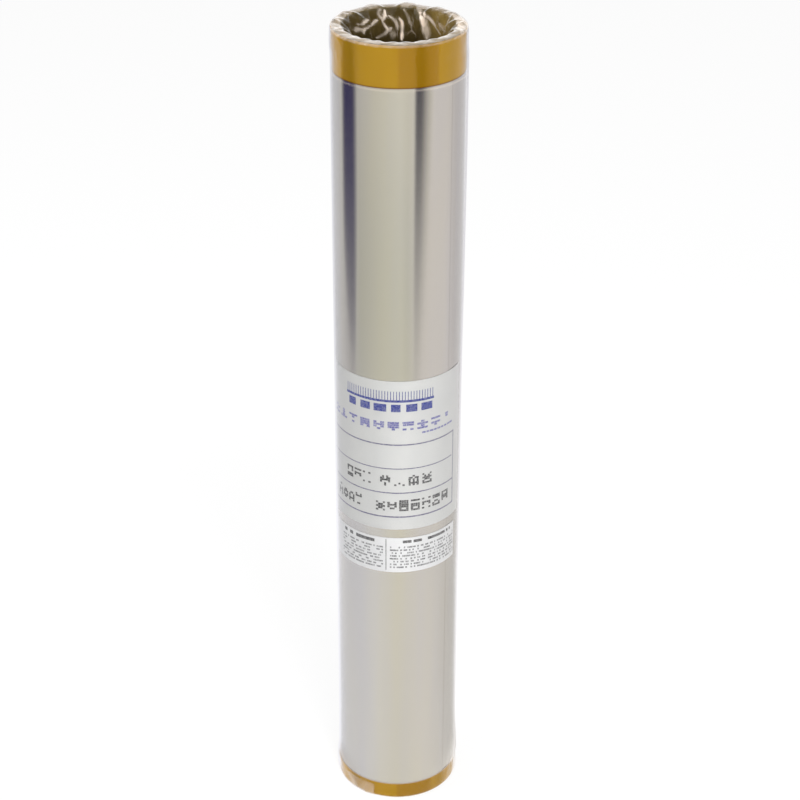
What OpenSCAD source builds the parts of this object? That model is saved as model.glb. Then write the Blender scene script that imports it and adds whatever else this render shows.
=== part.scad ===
// Roll of thin metal sheet on a cardboard core, taped at both ends and wrapped in clear film.
// It stands on its end: Z runs along the roll, and the labels face -Y.

/* [Sheet] */
// Width of the metal sheet, which is the length of the roll
sheet_w = 300; // [150:1:600]
// Length of the metal sheet when it is unrolled
sheet_len = 1000; // [500:100:3000]
// Thickness of the metal sheet
sheet_t = 0.04; // [0.02:0.01:0.1]
// Air between one turn of the sheet and the next
turn_air = 0.045; // [0.02:0.005:0.1]
// How far every second turn sits back at the ends of the roll
turn_step = 0.25; // [0.1:0.05:0.5]

/* [Core] */
// Inside diameter of the cardboard core
core_bore = 38.1; // [25:0.1:80]
// Wall of the cardboard core
core_wall = 2.75; // [1.5:0.05:6]

/* [Tape] */
// Thickness of the tape as it is wound round the ends
tape_t = 0.15; // [0.1:0.05:0.5]
// Width of the tape that shows at the top end
top_tape_w = 14.5; // [6:0.5:40]
// Width of the tape that shows at the bottom end
bottom_tape_w = 6.6; // [4:0.1:40]

/* [Labels] */
// Thickness of the label paper
label_t = 0.12; // [0.1:0.01:0.15]
// Width of the large label, round the roll
main_label_w = 63.2; // [30:0.1:75]
// Height of the large label
main_label_h = 59.5; // [20:0.5:80]
// Height of the large label's lower edge above the lower end of the sheet
main_label_z = 120.3; // [40:0.1:140]
// Turn of the large label round the roll, away from the front
main_label_turn = -8.8; // [-40:0.1:40]
// Width of the small label, round the roll
small_label_w = 58.7; // [30:0.1:75]
// Height of the small label
small_label_h = 14.4; // [8:0.1:25]
// Bare strip between the two labels
label_gap = 3.6; // [1:0.1:8]
// Turn of the small label round the roll, away from the front
small_label_turn = -10.6; // [-40:0.1:40]

/* [Film] */
// Thickness of the film
film_t = 0.2; // [0.15:0.05:0.4]
// Room between the film and what it covers
film_gap = 0.1; // [0.05:0.05:0.3]
// How far the film is tucked into the bore at each end
film_tuck = 38; // [15:1:60]
// How far the folded film stands above the top end of the roll
rim_rise = 1; // [0.6:0.1:2]
// How far the film bellies out near each end
film_belly = 0.5; // [0.1:0.1:2]
// Length of the slack stretch of film at the top end
top_slack = 60; // [20:1:70]
// Length of the slack stretch of film at the bottom end
bottom_slack = 22; // [10:1:70]

/* [Pleats] */
// Number of pleats that the tucked film makes inside the bore
pleats = 9; // [5:1:12]
// How far the deepest pleat stands in from the bore's wall
pleat_depth = 3.6; // [1:0.1:6]
// Angle that a pleat takes up from its foot to its crest
pleat_half = 7; // [4:0.5:8]
// How far the pleats lean sideways as they go down
pleat_lean = 8; // [0:1:12]

/* [Hidden] */
// Sides of a round surface on screen
$fn = 96;
bore_r = core_bore / 2;
core_r = bore_r + core_wall;
// One turn of sheet with its air, and the number of turns that the sheet's length makes
turn_pitch = sheet_t + turn_air;
turns = max(2, round(sheet_len / (2 * PI * core_r)));
roll_r = core_r + turns * turn_pitch;
tape_r = roll_r + tape_t;
label_r = roll_r + label_t;
// The roll stands on the film that is folded under it
roll_z = film_t;
roll_top = roll_z + sheet_w;
main_z = roll_z + main_label_z;
small_z = main_z - label_gap - small_label_h;
// The film outside the roll and inside the bore
film_in = max(tape_r, label_r) + film_gap;
tuck_out = bore_r - film_gap;
wall_mid = (tuck_out + film_in) / 2;
wall_half = (film_in - tuck_out) / 2;
// Length of the smooth lip that the pleated skirt hangs from, and how far the skirt is set in from its faces
tuck_lip = 1;
fold_inset = 0.03;
// Heights of a pleat at its crest, halfway and at its foot
fold_heights = [1, 0.45, 0];
// Rows of the skirt: depth below the roll's end, and share of the pleats' full height
skirt_rows = [
    [tuck_lip / 2, 0],
    [tuck_lip + 0.2, 0.08],
    [film_tuck * 0.1, 0.45],
    [film_tuck * 0.25, 0.8],
    [film_tuck * 0.5, 1],
    [film_tuck * 0.75, 0.9],
    [film_tuck, 0.75]
];
// Steps along a swell of the film and across the crown over the roll's end
swell_steps = 10;
crown_steps = 12;

// Upright ring with square edges
module ring(inner_r, outer_r, low, high) {
    rotate_extrude()
        translate([inner_r, low])
            square([outer_r - inner_r, high - low]);
}

// Sheet of paper bent round the roll, centred on an angle away from the front
module bent_label(w, h, low, turn) {
    span = w / roll_r * 180 / PI;
    rotate([0, 0, turn - 90 - span / 2])
        rotate_extrude(angle = span)
            translate([roll_r, low])
                square([label_t, h]);
}

// Rounded swell of height 1 in the middle of a stretch
function swell(along, span) = along > 0 && along < span ? pow(sin(180 * along / span), 2) : 0;

// How far the film bellies out at a height
function belly(z) = film_belly * (swell(z - roll_z, bottom_slack) + swell(roll_top - z, top_slack));

// Points of the film's face at a distance from what it covers, from the lower lip round the outside to the upper lip
function film_face(off) =
    concat(
        [[tuck_out - off, roll_z + tuck_lip], [tuck_out - off, roll_z - off]],
        [for (z = [roll_z - off, for (i = [1 : swell_steps]) roll_z + bottom_slack * i / swell_steps])
            [film_in + off + belly(z), z]],
        [for (i = [swell_steps : -1 : 1]) let (z = roll_top - top_slack * i / swell_steps)
            [film_in + off + belly(z), z]],
        [for (i = [0 : crown_steps]) let (t = 180 * i / crown_steps)
            [wall_mid + (wall_half + off) * cos(t), roll_top + (rim_rise - film_t + off) * sin(t)]],
        [[tuck_out - off, roll_top - tuck_lip]]
    );

// Angles round the bore at which the pleats stand, a little uneven
function pleat_turns(seed) = [for (i = [0 : pleats - 1]) (i + rands(-0.15, 0.15, pleats, seed)[i]) * 360 / pleats];

// One [angle, height] for each point round a pleated ring: five on a pleat and three on the wall beside it
function pleat_points(seed) =
    let (at = pleat_turns(seed), size = rands(0.65, 1, pleats, seed + 1))
    [for (i = [0 : pleats - 1])
        let (foot = at[i] + pleat_half, flat = (i < pleats - 1 ? at[i + 1] : at[0] + 360) - pleat_half - foot)
        each concat(
            [for (k = [-2 : 2]) [at[i] + k * pleat_half / 2, size[i] * fold_heights[abs(k)]]],
            [for (k = [1 : 3]) [foot + flat * k / 4, 0]]
        )
    ];

// Ring of points on the film's face towards the wall, with its pleats raised by a share of their height
function pleated_ring(points, share, depth) =
    [for (p = points)
        let (r = tuck_out - fold_inset / 2 - pleat_depth * share * p[1],
            a = p[0] + pleat_lean * share * share * sin(2 * p[0]))
        [r * cos(a), r * sin(a), -depth]
    ];

// The same ring moved in by the film's thickness, square to its own outline
function inner_ring(ring) =
    let (n = len(ring))
    [for (i = [0 : n - 1])
        let (d = ring[(i + 1) % n] - ring[(i + n - 1) % n], size = norm([d[0], d[1]]))
        ring[i] + (film_t - 2 * fold_inset) / size * [-d[1], d[0], 0]
    ];

// Film that hangs into the bore from its lip, with its pleats growing as they go down
module pleated_skirt(seed) {
    points = pleat_points(seed);
    n = len(points);
    wall_rings = [for (row = skirt_rows) pleated_ring(points, row[1], row[0])];
    loops = concat(wall_rings, [for (i = [len(wall_rings) - 1 : -1 : 0]) inner_ring(wall_rings[i])]);
    m = len(loops);
    polyhedron(
        [for (ring = loops) each ring],
        [for (j = [0 : m - 1], i = [0 : n - 1])
            let (a = j * n + i, b = j * n + (i + 1) % n, c = (j + 1) % m * n + (i + 1) % n, d = (j + 1) % m * n + i)
            each [[a, b, c], [a, c, d]]
        ]
    );
}

module core_tube() {
    color("peru")
        ring(bore_r, core_r, roll_z, roll_top);
}

// The turns of the sheet, with every second one set back at both ends
module foil_roll() {
    color("silver")
        rotate_extrude()
            for (i = [0 : turns - 1]) {
                back = i % 2 == 0 ? 0 : turn_step;
                translate([core_r + i * turn_pitch, roll_z + back])
                    square([turn_pitch, sheet_w - 2 * back]);
            }
}

module top_tape_band() {
    color("goldenrod")
        ring(roll_r, tape_r, roll_top - top_tape_w, roll_top);
}

module bottom_tape_band() {
    color("goldenrod")
        ring(roll_r, tape_r, roll_z, roll_z + bottom_tape_w);
}

module main_label() {
    color("white")
        bent_label(main_label_w, main_label_h, main_z, main_label_turn);
}

module small_label() {
    color("white")
        bent_label(small_label_w, small_label_h, small_z, small_label_turn);
}

// One film: round the outside, over both ends and into the bore, where it gathers into pleats
module wrap_film() {
    covered = film_face(0);
    face = film_face(film_t);
    color("lightcyan", 0.4)
        union() {
            rotate_extrude()
                polygon(concat(covered, [for (i = [len(face) - 1 : -1 : 0]) face[i]]));
            translate([0, 0, roll_top])
                pleated_skirt(4);
            translate([0, 0, roll_z])
                mirror([0, 0, 1])
                    pleated_skirt(9);
        }
}

core_tube();
foil_roll();
top_tape_band();
bottom_tape_band();
main_label();
small_label();
wrap_film();
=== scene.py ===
import math
from functools import partialmethod

import bpy
import numpy as np
from mathutils import Matrix, Vector


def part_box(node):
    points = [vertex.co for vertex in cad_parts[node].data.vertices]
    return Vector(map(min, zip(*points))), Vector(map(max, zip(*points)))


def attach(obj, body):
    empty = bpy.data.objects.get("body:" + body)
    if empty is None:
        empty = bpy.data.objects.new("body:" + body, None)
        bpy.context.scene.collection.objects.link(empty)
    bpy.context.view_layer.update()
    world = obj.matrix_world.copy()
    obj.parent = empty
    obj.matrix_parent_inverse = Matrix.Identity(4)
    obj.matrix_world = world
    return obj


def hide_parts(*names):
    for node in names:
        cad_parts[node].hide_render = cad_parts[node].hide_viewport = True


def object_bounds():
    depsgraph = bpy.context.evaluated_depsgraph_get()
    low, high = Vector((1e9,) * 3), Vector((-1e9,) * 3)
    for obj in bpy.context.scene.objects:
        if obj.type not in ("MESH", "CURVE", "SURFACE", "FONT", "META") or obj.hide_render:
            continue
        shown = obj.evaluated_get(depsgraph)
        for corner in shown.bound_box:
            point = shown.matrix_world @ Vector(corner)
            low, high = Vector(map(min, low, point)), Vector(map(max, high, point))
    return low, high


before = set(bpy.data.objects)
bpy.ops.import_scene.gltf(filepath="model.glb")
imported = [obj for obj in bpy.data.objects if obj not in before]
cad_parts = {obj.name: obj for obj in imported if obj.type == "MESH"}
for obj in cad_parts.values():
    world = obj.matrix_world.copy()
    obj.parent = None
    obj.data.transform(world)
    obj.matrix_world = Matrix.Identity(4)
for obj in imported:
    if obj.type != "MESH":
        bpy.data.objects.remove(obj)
cadLow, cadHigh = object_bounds()
scene = bpy.context.scene
mm = 0.001


# Sizes read from the parts of model.glb, in metres. Azimuths are degrees to the right of the front, which
# faces -Y.

def reachOf(points):
    return np.hypot(points[..., 0], points[..., 1])


def azimuthOf(points):
    return np.arctan2(points[..., 0], -points[..., 1])


# Points at a distance from the axis, an azimuth and a height
def rolled(reach, turned, height):
    return np.stack(np.broadcast_arrays(reach * np.sin(turned), -reach * np.cos(turned), height), 2)


def nodePoints(node):
    return np.array([v.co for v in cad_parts[node].data.vertices])


def nodeRadii(node):
    reach = reachOf(nodePoints(node))
    return float(reach.min()), float(reach.max())


boreRadius, coreRadius = nodeRadii("core_tube")
rollRadius = nodeRadii("foil_roll")[1]
tapeRadius = nodeRadii("top_tape_band")[1]
rollBase, rollTop = (corner.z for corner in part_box("foil_roll"))


# Node helpers, for shader and geometry trees alike

# Number or colour in a node tree, from which the plain signs make Math nodes
class Value:
    def __init__(self, socket):
        self.socket = socket
        self.tree = socket.id_data

    def calc(self, operation, *others):
        node = addNode(self.tree, "ShaderNodeMath", operation=operation)
        for value, socket in zip((self, *others), node.inputs):
            wire(value, socket)
        return Value(node.outputs[0])

    __add__ = partialmethod(calc, "ADD")
    __sub__ = partialmethod(calc, "SUBTRACT")
    __mul__ = partialmethod(calc, "MULTIPLY")
    __truediv__ = partialmethod(calc, "DIVIDE")
    atMost = partialmethod(calc, "MINIMUM")
    atLeast = partialmethod(calc, "MAXIMUM")

    def __rsub__(self, other):
        return self * -1.0 + other


def wire(value, socket):
    value = value.socket if isinstance(value, Value) else value
    if isinstance(value, bpy.types.NodeSocket):
        socket.id_data.links.new(value, socket)
    else:
        socket.default_value = value


def addNode(tree, kind, inputs=None, **settings):
    node = tree.nodes.new(kind)
    for name, value in settings.items():
        setattr(node, name, value)
    for name, value in (inputs or {}).items():
        wire(value, node.inputs[name])
    return node


def nodeValue(tree, kind, output=0, inputs=None, **settings):
    return Value(addNode(tree, kind, inputs, **settings).outputs[output])


def joinXyz(tree, x, y, z):
    return nodeValue(tree, "ShaderNodeCombineXYZ", 0, {"X": x, "Y": y, "Z": z})


def ramp(value, stops):
    node = addNode(value.tree, "ShaderNodeValToRGB", {"Fac": value})
    elements = node.color_ramp.elements
    while len(elements) < len(stops):
        elements.new(0.5)
    for element, (position, level) in zip(elements, stops):
        element.position = position
        element.color = (*level, 1) if isinstance(level, tuple) else (level, level, level, 1)
    return Value(node.outputs["Color"])


def blendColour(factor, first, second):
    node = addNode(factor.tree, "ShaderNodeMix", data_type="RGBA")
    for index, value in ((0, factor), (6, first), (7, second)):
        wire((*value, 1) if isinstance(value, tuple) else value, node.inputs[index])
    return Value(node.outputs[2])


def darken(level, colour):
    return blendColour(level, (0.0, 0.0, 0.0), colour)


# Node group with inputs and outputs given as {kind of socket: names}
def newTree(name, kind, inputs, outputs):
    tree = bpy.data.node_groups.new(name, kind)
    for side, sockets in (("INPUT", inputs), ("OUTPUT", outputs)):
        for socketKind, names in sockets.items():
            for socketName in names.split(", "):
                tree.interface.new_socket(socketName, in_out=side, socket_type="NodeSocket" + socketKind)
    given = {socket.name: Value(socket) for socket in tree.nodes.new("NodeGroupInput").outputs}
    return tree, given, tree.nodes.new("NodeGroupOutput").inputs


# Noise that is stretched round or along the roll, shared by every material
def buildGrainGroup():
    tree, given, out = newTree(
        "rollGrain", "ShaderNodeTree", {"Float": "Round, Along, Detail, Contrast"}, {"Float": "Value"})
    stretched = addNode(tree, "ShaderNodeVectorMath", operation="MULTIPLY")
    wire(nodeValue(tree, "ShaderNodeTexCoord", "Object"), stretched.inputs[0])
    wire(joinXyz(tree, given["Round"], given["Round"], given["Along"]), stretched.inputs[1])
    noise = nodeValue(tree, "ShaderNodeTexNoise", 0, {
        "Vector": stretched.outputs[0], "Scale": 1.0, "Detail": given["Detail"], "Roughness": 0.55})
    wire((noise - 0.5) * given["Contrast"] + 0.5, out["Value"])
    return tree


grainGroup = buildGrainGroup()


def grain(tree, across, along, detail, contrast):
    return nodeValue(tree, "ShaderNodeGroup", "Value", {
        "Round": across, "Along": along, "Detail": detail, "Contrast": contrast}, node_tree=grainGroup)


def newMaterial(name, **plain):
    material = bpy.data.materials.new(name)
    material.use_nodes = True
    tree = material.node_tree
    shader = tree.nodes["Principled BSDF"]
    for socketName, value in plain.items():
        shader.inputs[socketName.replace("_", " ")].default_value = value
    return material, tree, shader


# Emptied material, for a surface that isn't built on the Principled shader
def bareMaterial(name):
    material = bpy.data.materials.new(name)
    material.use_nodes = True
    tree = material.node_tree
    tree.nodes.clear()
    return material, tree, addNode(tree, "ShaderNodeOutputMaterial").inputs["Surface"]


def mixShaders(factor, first, second):
    node = addNode(factor.tree, "ShaderNodeMixShader", {"Fac": factor})
    wire(first.outputs[0], node.inputs[1])
    wire(second.outputs[0], node.inputs[2])
    return node


# Colour, roughness and relief of a Principled surface, from its look
def dress(shader, look, colour, relief, rough=None):
    wire(colour, shader.inputs["Base Color"])
    if rough:
        wire(rough * look["roughVary"] + look["roughness"], shader.inputs["Roughness"])
    wire(nodeValue(relief.tree, "ShaderNodeBump", 0, {
        "Height": relief, "Strength": look["bump"], "Distance": look["bumpDepth"]}), shader.inputs["Normal"])


def place(tree, axis):
    point = nodeValue(tree, "ShaderNodeTexCoord", "Object")
    return nodeValue(tree, "ShaderNodeSeparateXYZ", axis, {"Vector": point})


def azimuth(tree):
    return place(tree, "X").calc("ARCTAN2", place(tree, "Y") * -1.0)


# 1 at a value and 0 from a distance away from it on
def near(value, centre, half):
    return ((value - centre).calc("ABSOLUTE") * (-1 / half) + 1.0).atLeast(0.0)


# Level or colour by azimuth, from stops of (degrees, level)
def aroundLevel(tree, stops):
    turned = azimuth(tree) * (0.5 / math.pi) + 0.5
    return ramp(turned, [(angle / 360 + 0.5, level) for angle, level in stops])


# Which rays show a surface itself, straight, in a reflection or through something clear
def lookingRays(tree):
    camera, glossy, clear = (nodeValue(tree, "ShaderNodeLightPath", "Is %s Ray" % kind)
                             for kind in ("Camera", "Glossy", "Transmission"))
    return camera.atLeast(glossy).atLeast(clear)


# Materials. What goes to grain is four values: how fine it is round and along the roll, detail, contrast.
# Lists called around give the light that a surface takes on by azimuth.

steelLook = {
    "colour": (0.60, 0.575, 0.50),
    "coolColour": (0.55, 0.54, 0.535),
    "lines": (14, 5200, 3, 1.4),
    "patches": (90, 7, 2, 1.6),
    "roughness": 0.11,
    "roughVary": 0.12,
    "bump": 0.15,
    "bumpDepth": 0.02 * mm,
    "spread": 0.80,            # how far reflections smear along the roll
    "endAzimuth": 52,          # where the sheet's free edge comes down the roll
    # The next three paint a shadow line down the sheet's free edge: its half width, how dark it is, and its
    # colour
    "endHalf": 0.5 * mm,
    "endShadowLevel": 0.17,
    "endShadowColour": (0.1, 0.09, 0.08),
}


def steelMaterial():
    look = steelLook
    material, tree, shader = newMaterial("rolledSteel", Metallic=1.0, Anisotropic=look["spread"],
                                         Anisotropic_Rotation=0.25)
    lines = grain(tree, *look["lines"])
    base = blendColour(grain(tree, *look["patches"]), look["colour"], look["coolColour"])
    # Painted shadow line down the sheet's free edge
    onEndShadow = near(azimuth(tree), math.radians(look["endAzimuth"]), look["endHalf"] / rollRadius)
    tangent = nodeValue(tree, "ShaderNodeTangent", direction_type="RADIAL", axis="Z")
    wire(tangent, shader.inputs["Tangent"])
    dress(shader, look, blendColour(onEndShadow * look["endShadowLevel"], base, look["endShadowColour"]), lines, lines)
    return material


tapeLook = {
    "colour": (0.58, 0.325, 0.004),
    "deepColour": (0.50, 0.26, 0.003),
    "clouds": (160, 60, 3, 1.3),
    "smears": (420, 30, 2, 1.6),
    "doubleColour": (0.455, 0.234, 0.003),
    "double": (1, 34),         # azimuths between which the tape lies double
    "doubleSoft": 0.05,
    "doubleSharp": 6.0,
    "around": [(-105, 0.77), (-88, 1.0), (-60, 1.0), (-44, 0.68), (-33, 0.77), (32, 0.78), (50, 0.71),
               (60, 0.88), (84, 1.0), (105, 0.77)],
    "edgeShadowColour": (0.22, 0.08, 0.008),
    "edge": (0.15 * mm, 0.42 * mm),     # painted shadow line by the top band's free edge: height over it, half width
    "edgeHighlightColour": (0.66, 0.56, 0.50),
    "pale": (-0.05 * mm, 0.36 * mm),    # and the painted highlight line by the bottom band's
    "roughness": 0.12,
    "roughVary": 0.16,
    "bump": 0.25,
    "bumpDepth": 0.05 * mm,
    "metal": 0.31,             # share of the light that comes back from the metal under the tape
}


# The two heights at which a band of tape ends on bare metal
def tapeEdges():
    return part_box("top_tape_band")[0].z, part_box("bottom_tape_band")[1].z


def tapeMaterial():
    look = tapeLook
    material, tree, shader = newMaterial("amberTape", Metallic=look["metal"], Specular_IOR_Level=0.1,
                                         Coat_Weight=0.04, Coat_Roughness=0.05)
    clouds, smears = grain(tree, *look["clouds"]), grain(tree, *look["smears"])
    base = blendColour(clouds * smears, look["colour"], look["deepColour"])
    start, end = (math.radians(angle) for angle in look["double"])
    double = near(azimuth(tree), (start + end) / 2, (end - start) / 2 + look["doubleSoft"])
    base = blendColour((double * look["doubleSharp"]).atMost(1.0), base, look["doubleColour"])
    # Painted shadow line on the top band just over its free edge, and painted highlight line at the bottom
    # band's free edge
    edge, pale = (near(place(tree, "Z"), height + look[name][0], look[name][1])
                  for height, name in zip(tapeEdges(), ("edge", "pale")))
    base = darken(aroundLevel(tree, look["around"]), blendColour(edge, base, look["edgeShadowColour"]))
    dress(shader, look, blendColour(pale, base, look["edgeHighlightColour"]), clouds, smears)
    return material


kraftLook = {
    "colour": (0.48, 0.33, 0.09),
    "darkColour": (0.20, 0.13, 0.03),
    "paleFibre": (0.75, 0.58, 0.30),
    "mottle": (420, 260, 5, 1.5),
    "fibres": (1500, 5200, 3, 1.7),
    "specks": [(0.62, 0.0), (0.78, 0.35)],
    "bump": 0.5,
    "bumpDepth": 0.08 * mm,
    "shadeDepth": 12 * mm,
    "deep": [(0.0, 1.0), (0.45, 0.9), (0.92, 0.5), (1.0, 0.45)],        # light by share of that depth
    "around": [(-180, 0.29), (-140, 0.28), (-118, 0.25), (-60, 0.4), (60, 0.8), (90, 1.0), (134, 1.0),
               (150, 0.45), (165, 0.29), (180, 0.29)],
    "ends": 0.33,
    "endReach": 1 / 40,        # share of that depth over which the light of the ends gives way
}


# Light that the board takes on: less inside the tube than at its ends
def kraftLight(tree):
    look = kraftLook
    low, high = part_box("core_tube")
    up = place(tree, "Z")
    share = (up - low.z).atMost(high.z - up) / look["shadeDepth"]
    inside = ramp(share, look["deep"]) * aroundLevel(tree, look["around"])
    return (inside - look["ends"]) * (share * (1 / look["endReach"])).atMost(1.0) + look["ends"]


def kraftMaterial():
    look = kraftLook
    material, tree, shader = newMaterial("kraftBoard", Roughness=0.9, Specular_IOR_Level=0.25)
    mottle, fibres = grain(tree, *look["mottle"]), grain(tree, *look["fibres"])
    base = blendColour(mottle, look["darkColour"], look["colour"])
    base = blendColour(ramp(fibres, look["specks"]), base, look["paleFibre"])
    dress(shader, look, darken(kraftLight(tree), base), mottle + fibres)
    return material


paperLook = {
    "mainLabel": {"colour": (0.72, 0.72, 0.70), "shadeColour": (0.66, 0.665, 0.66)},
    "smallLabel": {"colour": (0.87, 0.87, 0.875), "shadeColour": (0.81, 0.81, 0.815)},
    "around": [(-75, 0.80), (-22, 0.87), (-4, 0.98), (8, 1.0), (22, 0.93), (48, 0.87)],
    "mottle": (150, 150, 4, 1.2),
    "fibres": (2600, 2600, 3, 1.2),
    "roughness": 0.42,
    "roughVary": 0.15,
    "bump": 0.15,
    "bumpDepth": 0.02 * mm,
}


def paperMaterial(name):
    look = paperLook
    material, tree, shader = newMaterial(name + "Paper", Specular_IOR_Level=0.35)
    mottle, fibres = grain(tree, *look["mottle"]), grain(tree, *look["fibres"])
    base = blendColour(mottle, look[name]["shadeColour"], look[name]["colour"])
    dress(shader, look, darken(aroundLevel(tree, look["around"]), base), fibres, fibres)
    return material


# Print on the labels: each ink's colour, and how worn it is
inks = {
    "blue": ((0.022, 0.04, 0.27), 0.25),
    "violet": ((0.13, 0.13, 0.38), 0.45),
    "line": ((0.13, 0.12, 0.22), 0.4),
    "black": ((0.035, 0.035, 0.04), 0.35),
    "grey": ((0.20, 0.20, 0.21), 0.5),
}
inkLook = {
    "thickness": 0.02 * mm,
    "wear": (2200, 2200, 3, 1.8),
    "wearFrom": 0.35,
    "wearTo": 0.75,
    "segment": 0.8 * mm,       # longest straight piece of a bent block
}


def inkMaterial(name):
    colour, worn = inks[name]
    material, tree, shader = newMaterial(name + "Ink", Roughness=0.5, Specular_IOR_Level=0.3)
    wear = ramp(grain(tree, *inkLook["wear"]), [(inkLook["wearFrom"], 0.0), (inkLook["wearTo"], worn)])
    wire(blendColour(wear, colour, paperLook["mainLabel"]["colour"]), shader.inputs["Base Color"])
    return material


# Film that shows what is behind it. Its creases, kept in an attribute, are whiter than the rest: partly the
# film's own whitening, partly painted highlight.
filmMaterialLook = {
    "ior": 1.14,
    "faces": 4.0,              # how much more the film reflects than one surface of it would
    "haze": 0.002,
    "milk": (0.97, 0.83, 0.70),
    # Painted shade on the milk over the roll's end: a level by azimuth, darker at the back
    "rimShade": [(-180, 0.52), (-130, 0.55), (-100, 0.9), (-70, 1.0), (100, 1.0), (135, 0.6), (180, 0.52)],
    "rimSoft": 0.1 * mm,       # height above the roll's end over which the milk takes on that painted shade level
    "step": (-0.5 * mm, 0.45 * mm),     # whiter line where it steps off the top tape, partly haze and partly painted highlight: height over the edge, half width
    "stepPatches": (60, 20, 2, 2.0),
    "stepHazeAndHighlight": 0.4,
    "creaseHazeAndHighlight": 0.85,
    "most": 0.97,              # share of the light that the film stops at most
    "shadow": (0.95, 0.95, 0.95, 1),
    "roughness": 0.06,
}


def filmMaterial():
    look = filmMaterialLook
    material, tree, result = bareMaterial("clearFilm")
    crease = nodeValue(tree, "ShaderNodeAttribute", "Fac", attribute_name="crease")
    behind = nodeValue(tree, "ShaderNodeNewGeometry", "Backfacing")
    ior = behind * (1 / look["ior"] - look["ior"]) + look["ior"]
    mirror = nodeValue(tree, "ShaderNodeFresnel", 0, {"IOR": ior}) * look["faces"]
    up = place(tree, "Z")
    # Whiter patchy line just below the top tape's edge: partly haze of the film's step, partly painted
    # highlight
    patchy = near(up, tapeEdges()[0] + look["step"][0], look["step"][1]) * grain(tree, *look["stepPatches"])
    milky = patchy * look["stepHazeAndHighlight"] + (crease * look["creaseHazeAndHighlight"] + look["haze"])
    both = mirror + milky
    # Painted shade: above the roll's end the milk is darkened by azimuth
    overEnd = ((up - rollTop) / look["rimSoft"]).atLeast(0.0).atMost(1.0)
    level = blendColour(overEnd, (1.0, 1.0, 1.0), aroundLevel(tree, look["rimShade"]))
    gloss = addNode(tree, "ShaderNodeBsdfGlossy", {"Color": (1, 1, 1, 1), "Roughness": look["roughness"]})
    white = addNode(tree, "ShaderNodeBsdfDiffuse", {"Color": darken(level, look["milk"])})
    surface = mixShaders(milky / both, gloss, white)
    film = mixShaders(both.atMost(look["most"]), addNode(tree, "ShaderNodeBsdfTransparent"), surface)
    shadow = addNode(tree, "ShaderNodeBsdfTransparent", {"Color": look["shadow"]})
    shaded = mixShaders(nodeValue(tree, "ShaderNodeLightPath", "Is Shadow Ray"), film, shadow)
    wire(shaded.outputs[0], result)
    return material


# Finished pieces

def finishPiece(piece, slotName=None, *nodes):
    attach(piece, "root")
    if nodes:
        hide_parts(*nodes)
    print("made", piece.name, len(piece.data.polygons), "faces")
    return piece


def gridMesh(name, points, material, closedRound=False):
    rows, columns = points.shape[:2]
    index = np.arange(rows * columns).reshape(rows, columns)
    if closedRound:
        index = np.hstack([index, index[:, :1]])
    corners = [index[:-1, :-1], index[:-1, 1:], index[1:, 1:], index[1:, :-1]]
    faces = np.stack([c.ravel() for c in corners], axis=1)
    mesh = bpy.data.meshes.new(name)
    mesh.from_pydata(points.reshape(-1, 3).tolist(), [], faces.tolist())
    mesh.materials.append(material)
    mesh.polygons.foreach_set("use_smooth", [True] * len(mesh.polygons))
    piece = bpy.data.objects.new(name, mesh)
    scene.collection.objects.link(piece)
    return piece


def storeValues(piece, name, values):
    attribute = piece.data.attributes.new(name, "FLOAT", "POINT")
    attribute.data.foreach_set("value", values.ravel().astype(np.float32))


sharpAngle = math.radians(40)


# Plain mesh from a geometry tree, made thicker outwards where that is asked for
def bakeTree(name, tree, values, thickness=0.0):
    source = bpy.data.objects.new(name, bpy.data.meshes.new(name + "Source"))
    scene.collection.objects.link(source)
    modifier = source.modifiers.new("Build", "NODES")
    modifier.node_group = tree
    sockets = {item.name: item.identifier for item in tree.interface.items_tree if item.in_out == "INPUT"}
    for socketName, value in values.items():
        modifier[sockets[socketName]] = value
    if thickness:
        shell = source.modifiers.new("Thickness", "SOLIDIFY")
        shell.thickness = thickness
        shell.offset = 1
    depsgraph = bpy.context.evaluated_depsgraph_get()
    mesh = bpy.data.meshes.new_from_object(source.evaluated_get(depsgraph), depsgraph=depsgraph)
    source.modifiers.clear()
    source.data = mesh
    mesh.set_sharp_from_angle(angle=sharpAngle)
    return source


def splitPosition(tree):
    split = addNode(tree, "ShaderNodeSeparateXYZ", {"Vector": nodeValue(tree, "GeometryNodeInputPosition")})
    return [Value(socket) for socket in split.outputs]


def finishTree(shape, given, out):
    real = nodeValue(shape.tree, "GeometryNodeRealizeInstances", 0, {"Geometry": shape})
    wire(nodeValue(shape.tree, "GeometryNodeSetMaterial", 0, {
        "Geometry": real, "Material": given["Material"]}), out["Geometry"])


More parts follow.
